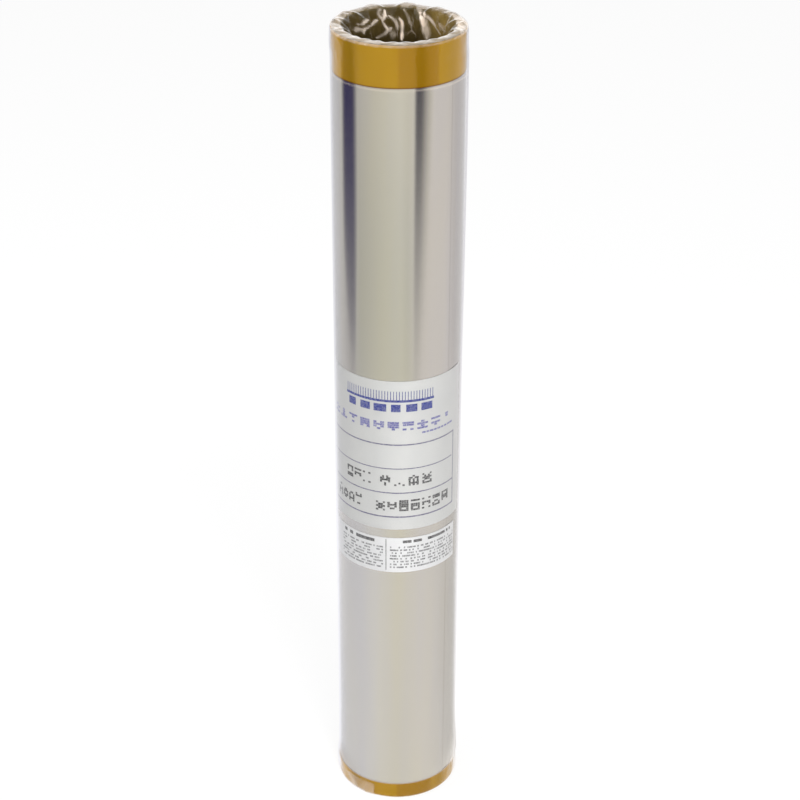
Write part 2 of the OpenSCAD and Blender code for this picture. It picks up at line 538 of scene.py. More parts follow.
# A strip wound round the roll: the sheet's spiral, the turns of tape and the bent labels
def buildStripTree():
    tree, given, out = newTree("woundStrip", "GeometryNodeTree", {
        "Int": "Segments, Steps",
        "Float": "Turns, Start Angle, Inner Radius, Growth, Low Edge, Width, Wave, Wave Round, Wave Along, "
                 "Drift, Drift Pace, Seed",
        "Material": "Material"}, {"Geometry": "Geometry"})
    shape = nodeValue(tree, "GeometryNodeMeshGrid", "Mesh", {
        "Size X": 1.0, "Size Y": 1.0, "Vertices X": given["Segments"], "Vertices Y": given["Steps"]})
    along, up = splitPosition(tree)[:2]
    wound = (along + 0.5) * given["Turns"]
    angle = wound * (2 * math.pi) + given["Start Angle"]
    sideways, ahead = angle.calc("SINE"), angle.calc("COSINE")
    height = (up + 0.5) * given["Width"]
    waves = nodeValue(tree, "ShaderNodeTexNoise", 0, {
        "Scale": 1.0, "Detail": 2.0, "W": given["Seed"],
        "Vector": joinXyz(tree, sideways * given["Wave Round"], ahead * given["Wave Round"],
                          height * given["Wave Along"])}, noise_dimensions="4D")
    radius = waves * given["Wave"] + (wound * given["Growth"] + given["Inner Radius"])
    shift = (wound * given["Drift Pace"] + given["Seed"]).calc("SINE") * given["Drift"]
    bent = joinXyz(tree, radius * sideways, radius * ahead * -1.0, height + given["Low Edge"] + shift)
    shape = nodeValue(tree, "GeometryNodeSetPosition", 0, {"Geometry": shape, "Position": bent})
    shape = nodeValue(tree, "GeometryNodeSetShadeSmooth", 0, {"Geometry": shape})
    finishTree(shape, given, out)
    return tree


stripTree = buildStripTree()


# The values of a strip are named as the tree's inputs
foilLook = {
    "thickness": 0.04 * mm,
    "endRoom": 0.15 * mm,      # what the sheet is short of the node at each end
    "strip": {"Segments": 1009, "Steps": 17, "Turns": 7.0, "Wave": 0.05 * mm, "Wave Round": 1.6,
              "Wave Along": 5.0, "Drift": 0.12 * mm, "Drift Pace": 2.3, "Seed": 0.0},
}


def makeFoil():
    look, strip = foilLook, foilLook["strip"]
    growth = (rollRadius - look["thickness"] - strip["Wave"] - coreRadius) / strip["Turns"]
    return finishPiece(bakeTree("foilSpiral", stripTree, {
        **strip, "Start Angle": math.radians(steelLook["endAzimuth"]), "Inner Radius": coreRadius,
        "Growth": growth, "Low Edge": rollBase + look["endRoom"],
        "Width": rollTop - rollBase - 2 * look["endRoom"], "Material": steelMaterial()},
        look["thickness"]), "steel_foil", "foil_roll")


bandLook = {
    "thickness": 0.05 * mm,
    "snug": 0.08 * mm,         # how far the tape's first turn is pulled down to the sheet
    "strip": {"Segments": 360, "Steps": 12, "Turns": 2.6, "Wave": 0.04 * mm, "Wave Round": 5.0,
              "Wave Along": 260.0, "Drift": 0.12 * mm, "Drift Pace": 2.3},
    "topTape": ("top_tape_band", 118, 2.0),        # node, azimuth of the outer end, seed
    "bottomTape": ("bottom_tape_band", -22.5, 5.0),
}


def makeBand(name, material):
    look, strip = bandLook, bandLook["strip"]
    node, endAzimuth, seed = look[name]
    low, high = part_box(node)
    inner = rollRadius - look["snug"]
    growth = (tapeRadius - look["thickness"] - strip["Wave"] - inner) / strip["Turns"]
    return finishPiece(bakeTree(name, stripTree, {
        **strip, "Start Angle": math.radians(endAzimuth - 360 * strip["Turns"]), "Inner Radius": inner,
        "Growth": growth, "Low Edge": low.z + strip["Drift"], "Width": high.z - low.z - 2 * strip["Drift"],
        "Seed": seed, "Material": material}, look["thickness"]), "amber_tape", node)


labelLook = {
    "thickness": 0.11 * mm,
    "strip": {"Segments": 120, "Steps": 40, "Wave": 0.02 * mm, "Wave Round": 14.0, "Wave Along": 300.0,
              "Growth": 0.0, "Drift": 0.0, "Drift Pace": 0.0, "Seed": 0.0},
}


def makeLabel(name, node):
    look, strip = labelLook, labelLook["strip"]
    low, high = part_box(node)
    azimuths = azimuthOf(nodePoints(node))
    left, right = float(azimuths.min()), float(azimuths.max())
    return finishPiece(bakeTree(name, stripTree, {
        **strip, "Turns": (right - left) / (2 * math.pi), "Start Angle": left, "Inner Radius": rollRadius,
        "Low Edge": low.z, "Width": high.z - low.z, "Material": paperMaterial(name)},
        look["thickness"] - strip["Wave"]), "label_paper", node)


# Blocks of ink in rows, bent round the roll. They stand in groups, and each group is the same on both sides.
def buildPrintTree():
    tree, given, out = newTree("printRows", "GeometryNodeTree", {
        "Int": "Columns, Rows, Group Pitch, Group Width, Segments, Seed",
        "Float": "Cell Width, Row Pitch, Block Height, Least Fill, Most Fill, Gap Chance, Left, Top, Radius, "
                 "Thickness",
        "Material": "Material"}, {"Geometry": "Geometry"})
    dots = nodeValue(tree, "GeometryNodeMeshLine", 0, {"Count": given["Columns"] * given["Rows"]})
    index = nodeValue(tree, "GeometryNodeInputIndex")
    row = ((index + 0.01) / given["Columns"]).calc("FLOOR")
    column = index - row * given["Columns"]
    along = (column + 0.5) * given["Cell Width"] + given["Left"]
    down = given["Top"] - (row + 0.5) * given["Row Pitch"]
    laid = nodeValue(tree, "GeometryNodeSetPosition", 0, {
        "Geometry": dots, "Position": joinXyz(tree, along, 0.0, down)})
    fill = addNode(tree, "FunctionNodeRandomValue", {"ID": index, "Seed": given["Seed"]}, data_type="FLOAT")
    wire(given["Least Fill"], fill.inputs[2])
    wire(given["Most Fill"], fill.inputs[3])
    size = joinXyz(tree, Value(fill.outputs[1]) * given["Cell Width"], given["Thickness"],
                   given["Block Height"])
    group = ((column + 0.01) / given["Group Pitch"]).calc("FLOOR")
    inGroup = column - group * given["Group Pitch"]
    mirrored = inGroup.atMost(given["Group Width"] - 1.0 - inGroup)
    chance = (1.0 - given["Gap Chance"]) * inGroup.calc("LESS_THAN", given["Group Width"] - 0.5)
    kept = nodeValue(tree, "FunctionNodeRandomValue", 3, {
        "ID": group * 100.0 + mirrored + row * 10.0, "Seed": given["Seed"], "Probability": chance},
        data_type="BOOLEAN")
    block = nodeValue(tree, "GeometryNodeMeshCube", 0, {"Size": (1, 1, 1), "Vertices X": given["Segments"]})
    blocks = nodeValue(tree, "GeometryNodeInstanceOnPoints", 0, {
        "Points": laid, "Selection": kept, "Instance": block, "Scale": size})
    real = nodeValue(tree, "GeometryNodeRealizeInstances", 0, {"Geometry": blocks})
    x, y, z = splitPosition(tree)
    angle, reach = x / given["Radius"], given["Radius"] - y
    bent = joinXyz(tree, reach * angle.calc("SINE"), reach * angle.calc("COSINE") * -1.0, z)
    placed = nodeValue(tree, "GeometryNodeSetPosition", 0, {"Geometry": real, "Position": bent})
    finishTree(placed, given, out)
    return tree


# Each block of print: left and right azimuth in degrees, height of its top in mm above the floor, then
# columns, rows, row pitch, block height, least and most fill, share of gaps, cells from one group to the
# next and cells in a group. A plain bar has its height alone.
printRows = [
    ("blue", -52.0, 34.0, 176.2, 33, 1, 3.6, 3.5, 0.24, 0.24, 0.0, 1, 1),
    ("blue", -52.0, 34.0, 172.8, 0.9),
    ("blue", -52.0, 34.0, 171.2, 6, 1, 3.2, 2.9, 0.45, 0.95, 0.0, 1, 1),
    ("violet", -76.0, 58.0, 164.3, 40, 4, 0.86, 0.75, 0.85, 1.15, 0.33, 4, 3),
    ("violet", 22.0, 58.0, 159.8, 9, 1, 1.0, 0.7, 0.6, 0.95, 0.0, 1, 1),
    ("line", -78.0, 60.7, 155.3, 0.5),
    ("line", -78.0, 58.0, 145.6, 0.36),
    ("line", -78.0, 60.7, 135.8, 0.44),
    ("line", -78.0, 60.7, 126.0, 0.54),
    ("line", 60.0, 61.1, 155.3, 29.8),
    ("line", -78.4, -77.6, 155.3, 29.8),
    ("black", -52.5, -23.5, 142.9, 15, 6, 0.74, 0.7, 0.9, 1.2, 0.5, 5, 4),
    ("black", -16.0, 36.0, 142.7, 28, 6, 0.7, 0.66, 0.9, 1.2, 0.6, 7, 5),
    ("black", -68.0, -33.0, 132.9, 20, 6, 0.76, 0.7, 0.9, 1.2, 0.5, 5, 4),
    ("black", -20.0, 55.0, 132.7, 35, 6, 0.76, 0.7, 0.8, 1.1, 0.55, 5, 4),
    ("black", -61.6, -21.6, 115.9, 20, 1, 1.4, 1.3, 0.9, 1.1, 0.15, 2, 2),
    ("black", 4.8, 57.6, 115.9, 26, 1, 1.2, 1.1, 0.8, 1.1, 0.25, 3, 3),
    ("grey", -60.7, -13.4, 113.5, 30, 8, 1.2, 0.62, 0.6, 1.2, 0.45, 30, 30),
    ("grey", -7.0, 63.0, 113.6, 44, 8, 1.2, 0.66, 0.6, 1.2, 0.42, 44, 44),
    ("black", -10.9, -10.3, 116.3, 13.0),
]


def makePrint():
    tree = buildPrintTree()
    materials = {ink: inkMaterial(ink) for ink in inks}
    radius = rollRadius + labelLook["thickness"] + inkLook["thickness"] / 2
    blocks = []
    for number, (ink, left, right, top, *cells) in enumerate(printRows):
        if len(cells) == 1:
            cells = (1, 1, *cells, *cells, 1.0, 1.0, 0.0, 1, 1)
        columns, rows, pitch, tall, least, most, gaps, groupPitch, groupWidth = cells
        start, end = math.radians(left) * radius, math.radians(right) * radius
        cell = (end - start) / columns
        blocks.append(bakeTree("printBlock%02d" % number, tree, {
            "Columns": columns, "Rows": rows, "Cell Width": cell, "Row Pitch": pitch * mm,
            "Block Height": tall * mm, "Least Fill": least, "Most Fill": most, "Gap Chance": gaps,
            "Group Pitch": groupPitch, "Group Width": groupWidth, "Seed": number, "Left": start,
            "Top": top * mm, "Radius": radius, "Thickness": inkLook["thickness"], "Material": materials[ink],
            "Segments": max(2, round(cell / inkLook["segment"]) + 1)}))
    with bpy.context.temp_override(active_object=blocks[0], selected_editable_objects=blocks):
        bpy.ops.object.join()
    blocks[0].name = "labelPrint"
    return finishPiece(blocks[0])


# The core: a board tube whose plies show on its ends and whose winding seam runs down the bore
coreLook = {
    "columns": 144,
    "rows": 160,
    "plies": 7,
    "plyStep": 0.07 * mm,
    "seamTurns": 3,            # whole turns that the winding seam makes over the core's height
    "seamDepth": 0.16 * mm,
    "seamHalf": 0.055,         # radians
    "outsideRows": 12,
    "sharpAngle": math.radians(35),
}


def makeCore():
    look = coreLook
    low, high = rollBase, rollTop
    plyEdges = np.linspace(boreRadius, coreRadius, look["plies"] * 2 + 1)
    steps = np.where(np.arange(len(plyEdges)) % 2 == 0, look["plyStep"], 0.0)
    steps[[0, -1]] = 2 * look["plyStep"]
    inside = [(boreRadius, z) for z in np.linspace(low, high, look["rows"])[1:-1]]
    outside = [(coreRadius, z) for z in np.linspace(high, low, look["outsideRows"])[1:-1]]
    top = list(zip(plyEdges, high - steps))
    bottom = list(zip(plyEdges[::-1], low + steps[::-1]))
    profile = np.array(inside + top + outside + bottom)
    angles = np.linspace(0, 2 * math.pi, look["columns"], endpoint=False)
    atBore = (profile[:, 0] < boreRadius + 0.01 * mm)[:, None]
    turn = angles[None, :] + atBore * (profile[:, 1:] - low) / (high - low) * look["seamTurns"] * 2 * math.pi
    fromSeam = np.minimum(angles, 2 * math.pi - angles) / look["seamHalf"]
    groove = look["seamDepth"] * np.clip(1 - fromSeam, 0, 1)
    points = rolled(profile[:, :1] + atBore * groove[None, :], turn, profile[:, 1:])
    points = np.concatenate([points, points[:1]])
    piece = gridMesh("coreTube", points[:, ::-1], kraftMaterial(), closedRound=True)
    piece.data.set_sharp_from_angle(angle=look["sharpAngle"])
    return finishPiece(piece, "kraft_core", "core_tube")


# The film: one sheet from inside the bore, over the end, down the roll and into the bore again.
# Each tucked end starts as a smooth sleeve. The bore is too narrow for it, so as it is relaxed it
# gathers into folds, coarse ones first and fine ones after, and sharp creases are pressed in last.
filmLook = {
    "columns": 160,            # round one full turn, before the mesh is refined
    "round": 144.4 * mm,       # length of one full turn of the film
    "overlap": 26,             # columns past one full turn, after the mesh is refined
    "seamAzimuth": 148,        # where the film's outer edge comes down the roll
    "layerGap": 0.04 * mm,
    "step": 1.0 * mm,          # distance between rows at the ends, before the mesh is refined
    "sleeve": 9 * mm,          # outside part of each end that is relaxed too
    "sleeveRows": 44,
    "tuck": 38 * mm,
    "room": 0.06 * mm,         # between the film and what it covers
    "spare": 0.01 * mm,        # what the film stays inside the space of its solid
    "looseAzimuth": 95,
    "crownRise": 0.8,          # share of the room over the end that the film's crown starts with
    # Share of its height that the crown keeps, by azimuth: at the front the film lies tight over the end
    "tight": [(-180, 1.0), (-95, 1.0), (-60, 0.42), (55, 0.42), (90, 1.0), (180, 1.0)],
    "innerLimit": 11.5 * mm,
    "foldGrowth": 9 * mm,      # depth over which a fold grows
    "foldSharp": 1.5,
    "calmRounds": 9,           # how much the finest wrinkles over the top end are smoothed out
    "calmReach": 7,            # rows beside the crown that this fades out over
    "bend": (1.1, 3.6),        # bends per mm at which the film starts to whiten, partly as painted highlight, and is whitest
    "topWhite": 0.45,
    "bottomWhite": 0.5,
    "crownWhite": 0.4,         # share of the bends' whiteness that is left over the top end
}
coarse = {"rounds": 500, "stiffness": 0.22, "noise": 0.012 * mm}
fine = {"rounds": 200, "stiffness": 0.04, "noise": 0.01 * mm}

# Springs between the film's points: along its rows and columns, across its cells, and between points
# further apart, which they only push away from each other
springs = {
    "stretch": 0.5,
    "shear": 0.2,
    "far": [(2, 1.0), (4, 0.3)],        # points apart, share of the stiffness
    "kept": 0.85,              # share of its speed that a point keeps from round to round
    "shaken": 0.6,             # share of the rounds in which the points are shaken too
}

# How far the film stands off the roll: (height, all round, more on the loose side), in mm
filmSlack = [
    (0, 0.0, 0.35), (5, 0.12, 0.5), (12, 0.0, 0.5), (24, -0.13, 0.0), (95, -0.13, 0.0), (102, 0.0, 0.0),
    (180, 0.0, 0.1), (210, 0.08, 0.3), (255, 0.16, 0.5), (301, 0.18, 0.5)]

# Folds that the film makes as it goes into the bore: azimuth, depth in mm, half width in degrees,
# lean in radians over the whole tuck, and where below the end it starts, in mm
filmEnds = {
    "top": {"crumple": 1.6 * mm, "seed": 7, "folds": [
        (161, 2.0, 5, -0.63, 0), (149, 1.4, 5, -1.2, 2), (202, 2.2, 6, -0.9, 0), (229, 1.0, 5, -0.3, 6),
        (106, 1.2, 6, 0.0, 7), (78, 2.4, 7, -0.2, 3), (52, 2.8, 7, 0.1, 1), (26, 2.8, 7, 0.2, 1),
        (0, 2.8, 7, 0.1, 1), (-26, 2.8, 7, -0.1, 1), (-52, 2.8, 7, -0.2, 1), (-82, 2.2, 7, 0.2, 3)]},
    "bottom": {"crumple": 0.4 * mm, "seed": 11, "folds": [
        (175, 2.4, 8, 0.4, 1), (140, 2.6, 7, -0.3, 1), (100, 2.2, 8, 0.2, 2), (58, 2.8, 8, -0.2, 1),
        (15, 2.2, 7, 0.3, 2), (-22, 2.6, 9, -0.2, 1), (-62, 2.6, 7, 0.2, 0), (-100, 2.2, 8, 0.3, 2),
        (-142, 2.8, 9, -0.3, 1)]},
}

# Creases pressed into the film at the back of the mouth: height and half width in mm, whiteness (partly
# painted highlight), and a line of (mm to the right of the back, mm below the end)
creases = [
    (0.3, 0.6, 0.35, [(-6.3, -0.3), (-7.1, 0.9), (-7.2, 2.4)]),
    (0.4, 0.55, 0.8, [(-5.2, 0.4), (-5.4, 1.6), (-5.8, 2.6), (-6.5, 3.7)]),
    (0.4, 0.95, 0.8, [(-5.4, 1.7), (-5.6, 2.3)]),
    (0.3, 0.55, 0.5, [(-3.9, 2.1), (-2.5, 2.9), (-1.2, 4.4), (-0.5, 6.2), (-0.3, 7.4)]),
    (0.3, 0.5, 0.5, [(-7.3, 2.4), (-6.7, 2.8), (-6.6, 3.6)]),
    (0.4, 0.5, 0.75, [(-6.6, 3.7), (-5.8, 5.1), (-5.1, 6.0), (-4.6, 6.7), (-5.7, 8.4), (-7.0, 9.7),
                      (-7.8, 10.0)]),
    (0.3, 0.8, 0.5, [(-4.5, 6.8), (-3.0, 6.1)]),
    (0.2, 1.5, 0.22, [(-3.4, 8.0), (-1.4, 8.6)]),
    (0.4, 0.55, 0.75, [(-7.7, 3.9), (-9.0, 4.9), (-10.0, 5.8)]),
    (0.4, 0.45, 0.6, [(-13.3, 4.2), (-16.0, 4.6), (-16.7, 5.2), (-16.8, 6.2)]),
    (0.3, 0.5, 0.6, [(-13.7, 2.1), (-16.1, 2.6), (-17.1, 3.5)]),
    (0.3, 0.6, 0.45, [(-17.1, 4.6), (-17.3, 5.0), (-17.9, 5.8)]),
    (0.3, 0.5, 0.6, [(0.1, 3.7), (1.1, 5.2), (1.2, 7.3), (1.1, 9.7)]),
    (0.4, 0.5, 0.9, [(1.15, 8.6), (1.1, 9.7), (1.0, 11.1)]),
    (0.2, 0.55, 0.15, [(1.6, 0.5), (2.7, 2.3), (3.4, 4.3), (4.5, 6.0), (5.5, 7.7)]),
    (0.4, 0.5, 0.35, [(6.2, -0.2), (7.7, 0.5), (8.7, 1.7)]),
    (0.4, 0.8, 0.95, [(8.8, 1.9), (9.8, 3.0), (10.4, 5.0)]),
    (0.4, 0.75, 0.4, [(9.8, 3.0), (10.4, 5.0), (10.8, 6.5), (11.3, 7.9), (11.5, 9.3)]),
    (0.3, 0.5, 0.5, [(9.5, 0.6), (11.2, 2.8), (12.9, 4.6), (14.9, 6.2), (16.4, 7.3)]),
    (0.3, 1.1, 0.25, [(16.2, 3.5), (17.2, 4.9), (18.5, 6.0)]),
    (0.2, 0.6, 0.15, [(19.8, 0.1), (23.0, 1.0)]),
]


def filmAzimuths(count):
    return np.linspace(0, 2 * math.pi, count, endpoint=False) + math.radians(filmLook["seamAzimuth"])


def filmRadius(turned, height):
    heights, everywhere, onSide = np.array(filmSlack).T
    loose = np.cos((turned - math.radians(filmLook["looseAzimuth"])) / 2) ** 2
    slack = np.interp(height / mm, heights, everywhere) + loose * np.interp(height / mm, heights, onSide)
    return tapeRadius + filmLook["room"] + slack * mm


# Film path beside and over one end: distance from the axis and height above the end, at even steps
def filmPath(rise):
    look = filmLook
    outer, inner = tapeRadius + look["room"], boreRadius - look["room"]
    middle, half = (outer + inner) / 2, (outer - inner) / 2
    bend = np.linspace(0, math.pi, 40)
    path = np.concatenate([
        [(outer, -look["sleeve"])], np.stack([middle + half * np.cos(bend), rise * np.sin(bend)], 1),
        [(inner, -look["tuck"])]])
    along = np.concatenate([[0], np.cumsum(np.hypot(*np.diff(path, axis=0).T))])
    places = np.linspace(0, along[-1], round(along[-1] / look["step"]) + 1)
    return np.stack([np.interp(places, along, path[:, k]) for k in (0, 1)], 1), places


# Moves points that are a number of rows or columns apart towards the length that the film has there
def pull(points, axis, apart, rest, strength, pushOnly=False):
    ahead = np.roll(points, -apart, axis=1) if axis == 1 else points[apart:]
    gap = ahead - (points if axis == 1 else points[:-apart])
    length = np.linalg.norm(gap, axis=2, keepdims=True)
    error = (length - rest) / np.maximum(length, 1e-9)
    move = gap * (np.minimum(error, 0) if pushOnly else error) * strength * 0.5
    if axis == 1:
        points += move - np.roll(move, apart, axis=1)
    else:
        points[:-apart] += move
        points[apart:] -= move


def pullAcross(points, rest, strength):
    for turn in (1, -1):
        gap = np.roll(points[1:], -turn, axis=1) - points[:-1]
        length = np.linalg.norm(gap, axis=2, keepdims=True)
        move = gap * (length - rest) / np.maximum(length, 1e-9) * strength * 0.5
        points[:-1] += move
        points[1:] -= np.roll(move, turn, axis=1)


# Keeps the film off the roll and inside the space that its solid has
def confine(points, crown, rise, floor):
    look = filmLook
    reach = reachOf(points)
    height = points[..., 2]
    rows = np.arange(len(points))[:, None]
    outside, inside = rows < crown[0], rows > crown[1]
    below = height < look["room"] * 0.5
    outer, inner = tapeRadius + look["room"], boreRadius - look["room"]
    wanted = np.where(outside & below, np.maximum(reach, outer), reach)
    wanted = np.where(inside & below, np.minimum(wanted, inner), wanted)
    wanted = np.clip(wanted, look["innerLimit"], cadHigh.x - look["layerGap"] - look["spare"])
    overEnd = (wanted > inner) & (wanted < outer)
    lifted = np.where(overEnd & (~below | ~(outside | inside)), np.maximum(height, look["room"]), height)
    points[..., :2] *= (wanted / reach)[..., None]
    points[..., 2] = np.clip(lifted, floor, rise)


def relax(points, crown, rise, floor, stage, cell, step, rng):
    pinned, before = points[0].copy(), points.copy()
    for count in range(stage["rounds"]):
        fade = max(0.0, 1 - count / (springs["shaken"] * stage["rounds"]))
        drift = (points - before) * springs["kept"]
        before = points.copy()
        points += drift + rng.normal(0, stage["noise"] * fade, points.shape)
        pull(points, 1, 1, cell, springs["stretch"])
        pull(points, 0, 1, step, springs["stretch"])
        pullAcross(points, math.hypot(cell, step), springs["shear"])
        for apart, share in springs["far"]:
            pull(points, 1, apart, apart * cell, stage["stiffness"] * share, pushOnly=True)
            pull(points, 0, apart, apart * step, stage["stiffness"] * share, pushOnly=True)
        confine(points, crown, rise, floor)
        points[0] = pinned


# Puts a point midway between each two, on the curve through their neighbours
def refineRows(points):
    longer = np.concatenate([2 * points[:1] - points[1:2], points, 2 * points[-1:] - points[-2:-1]])
    whole = np.empty((2 * len(points) - 1, *points.shape[1:]))
    whole[0::2] = points
    whole[1::2] = (9 * (longer[1:-2] + longer[2:-1]) - longer[:-3] - longer[3:]) / 16
    return whole


def refineColumns(points):
    whole = np.empty((points.shape[0], 2 * points.shape[1], 3))
    whole[:, 0::2] = points
    pairs = points + np.roll(points, -1, 1)
    whole[:, 1::2] = (9 * pairs - np.roll(points, 1, 1) - np.roll(points, -2, 1)) / 16
    return whole


# One tucked end, from the sleeve outside to the free edge inside, with heights counted from the end
def relaxEnd(rise, heightOf, end):
    look = filmLook
    rng = np.random.default_rng(end["seed"])
    path, places = filmPath(rise * look["crownRise"])
    turned = filmAzimuths(look["columns"])
    reach, height = (np.repeat(path[:, k:k + 1], look["columns"], 1) for k in (0, 1))
    crown = np.nonzero(path[:, 1] > 0)[0][[0, -1]]
    depth = np.clip(places - places[crown[1]], 0, None)[:, None]
    for direction, strength, half, lean, start in end["folds"]:
        centre = math.radians(direction) + lean * depth / look["tuck"]
        away = np.abs((turned - centre + math.pi) % (2 * math.pi) - math.pi) / math.radians(half)
        growth = np.clip((depth - start * mm) / look["foldGrowth"], 0, 1)
        reach = reach - strength * mm * growth * np.exp(-away ** 2 * look["foldSharp"])
    outside = (np.arange(len(path)) < crown[0])[:, None]
    points = rolled(np.where(outside, filmRadius(turned, heightOf(height)), reach), turned, height)
    cell, step, floor = look["round"] / look["columns"], places[1] - places[0], end["crumple"] - look["tuck"]
    relax(points, crown, rise, floor, coarse, cell, step, rng)
    points = refineRows(refineColumns(points))
    relax(points, crown * 2, rise, floor, fine, cell / 2, step / 2, rng)
    return points, crown * 2


def gridNormals(points):
    sideways = np.roll(points, -1, 1) - np.roll(points, 1, 1)
    normal = np.cross(sideways, np.gradient(points, axis=0))
    return normal / np.maximum(np.linalg.norm(normal, axis=2, keepdims=True), 1e-12)


# Distance from each point of a map to a line of places, and how far along the line its nearest place is
def lineDistance(across, down, line):
    best, along = np.full(across.shape, 1.0), np.zeros(across.shape)
    for number, ((x0, y0), (x1, y1)) in enumerate(zip(line, line[1:])):
        dx, dy = (x1 - x0) * mm, (y1 - y0) * mm
        share = ((across - x0 * mm) * dx + (down - y0 * mm) * dy) / (dx * dx + dy * dy)
        share = np.clip(share, 0, 1)
        away = np.hypot(across - x0 * mm - share * dx, down - y0 * mm - share * dy)
        along = np.where(away < best, (number + share) / (len(line) - 1), along)
        best = np.minimum(best, away)
    return best, along


# Creases are narrower at their ends, and their whiteness, partly painted highlight, comes and goes along them
creaseLook = {
    "endWidth": 0.5,           # share of the half width at a crease's ends
    "midWidth": 0.7,           # what is added to it in the middle
    "taper": 0.6,
    "whiteReach": 1.35,        # width of the white line, against that of the ridge
    "whiteLevel": 1.6,
    "whiteFall": 1.7,
    "bright": 1.35,
    "uneven": 0.25,
    "waves": 8,
    "boreReach": 0.6 * mm,     # how far beyond the bore's edge the creases go on
}


# Presses the creases in, and says how white each point is
def pressCreases(points):
    look = creaseLook
    reach = reachOf(points)
    across, down = np.arctan2(points[..., 0], points[..., 1]) * boreRadius, -points[..., 2]
    insideBore = reach < boreRadius + look["boreReach"]
    white, lift = np.zeros(across.shape), np.zeros(across.shape)
    for number, (tall, half, strength, line) in enumerate(creases):
        away, along = lineDistance(across, down, line)
        away /= half * mm * (look["endWidth"] + look["midWidth"] * np.sin(math.pi * along) ** look["taper"])
        lift = np.maximum(lift, tall * mm * np.clip(1 - away, 0, 1) * insideBore)
        core = look["whiteLevel"] * np.clip(1 - away / look["whiteReach"], 0, 1) ** look["whiteFall"]
        level = strength * (look["bright"] + look["uneven"] * np.sin(look["waves"] * along + number))
        white = np.maximum(white, np.minimum(core, 1.0) * insideBore * np.minimum(level, 1.0))
    points[..., :2] *= ((reach - lift) / reach)[..., None]
    return white


# Whiteness of sharp bends, partly the film's own whitening and partly painted highlight, from how far each
# point stands off its neighbours, by row and by column
def bendWhite(points):
    first, last = filmLook["bend"]
    sideways = np.roll(points, 1, 1) + np.roll(points, -1, 1) - 2 * points
    width = np.linalg.norm(np.roll(points, -1, 1) - np.roll(points, 1, 1), axis=2) / 2
    bend = np.linalg.norm(sideways, axis=2) / np.maximum(width, 1e-6) ** 2
    upward = points[2:] + points[:-2] - 2 * points[1:-1]
    tall = np.linalg.norm(points[2:] - points[:-2], axis=2) / 2
    bend[1:-1] = np.maximum(bend[1:-1], np.linalg.norm(upward, axis=2) / np.maximum(tall, 1e-6) ** 2)
    return np.clip((bend * mm - first) / (last - first), 0, 1)


# Film over the roll's end, whiter at some azimuths than at others
rimLook = {
    "azimuths": [-180, -140, -105, -75, -30, 0, 60, 80, 100, 125, 150, 180],
    "white": [0.45, 0.45, 0.35, 0.33, 0.27, 0.19, 0.18, 0.56, 0.56, 0.4, 0.4, 0.45],
    "uneven": 0.4,             # share of the whiteness that comes and goes in patches
    "inner": boreRadius - 0.1 * mm,
    "soft": 0.4 * mm,
}


def rimWhite(points):
    look = rimLook
    reach, turned = reachOf(points), azimuthOf(points)
    inside = np.clip((reach - look["inner"]) / look["soft"], 0, 1)
    patches = np.sin(turned * 11 + 1.0) * np.sin(turned * 23 + reach / mm * 1.7)
    patches = patches + 0.5 * np.sin(turned * 67 + reach / mm * 4)
    white = np.interp(np.degrees(turned), look["azimuths"], look["white"])
    return inside * white * (1 + look["uneven"] * patches)


# Whiter film beside the place where the bottom tape starts: partly the haze of doubled film, partly painted
# highlight in slanting streaks
milkyHighlightLook = {
    "height": 5.7 * mm,
    "azimuths": [-100, -92, -58, -46, -22.6, -22.4],
    "white": [0.0, 0.03, 0.0, 0.2, 0.33, 0.0],
    "streak": (-54, 1.8, 5.5, 0.34),      # painted highlight streak: azimuth at the top, its change per mm down, half width, whiteness
    "uneven": 0.3,             # share of the whiteness that comes and goes in streaks
}


def milkyHighlightPatch(points):
    look = milkyHighlightLook
    turned, height = np.degrees(azimuthOf(points)), -points[..., 2]
    inside = (height > -0.1 * mm) & (height < look["height"]) & (reachOf(points) > tapeRadius)
    slant = np.sin((turned - height / mm * 2.2) * 0.30) * np.sin((turned + height / mm) * 0.17 + 1.0)
    start, lean, half, bright = look["streak"]
    away = (turned - start - lean * (look["height"] - height) / mm) / half
    white = np.interp(turned, look["azimuths"], look["white"]) * (1 + look["uneven"] * slant)
    return np.where(inside, white + bright * np.exp(-away ** 2), 0)


# Smooths the film's crown, and draws it down to the roll's end where it lies tight
def settleCrown(points, crown):
    look = filmLook
    rows = np.arange(len(points))
    calm = np.clip(1 - np.maximum(crown[0] - rows, rows - crown[1]) / look["calmReach"], 0, 1)[:, None, None]
    for count in range(look["calmRounds"]):
        points += calm * ((np.roll(points, 1, 1) + np.roll(points, -1, 1)) / 2 - points) / 2
    tight = np.interp(np.degrees(azimuthOf(points)), *np.array(look["tight"]).T)
    height = points[..., 2]
    points[..., 2] = np.where(height > look["room"], look["room"] + (height - look["room"]) * tight, height)


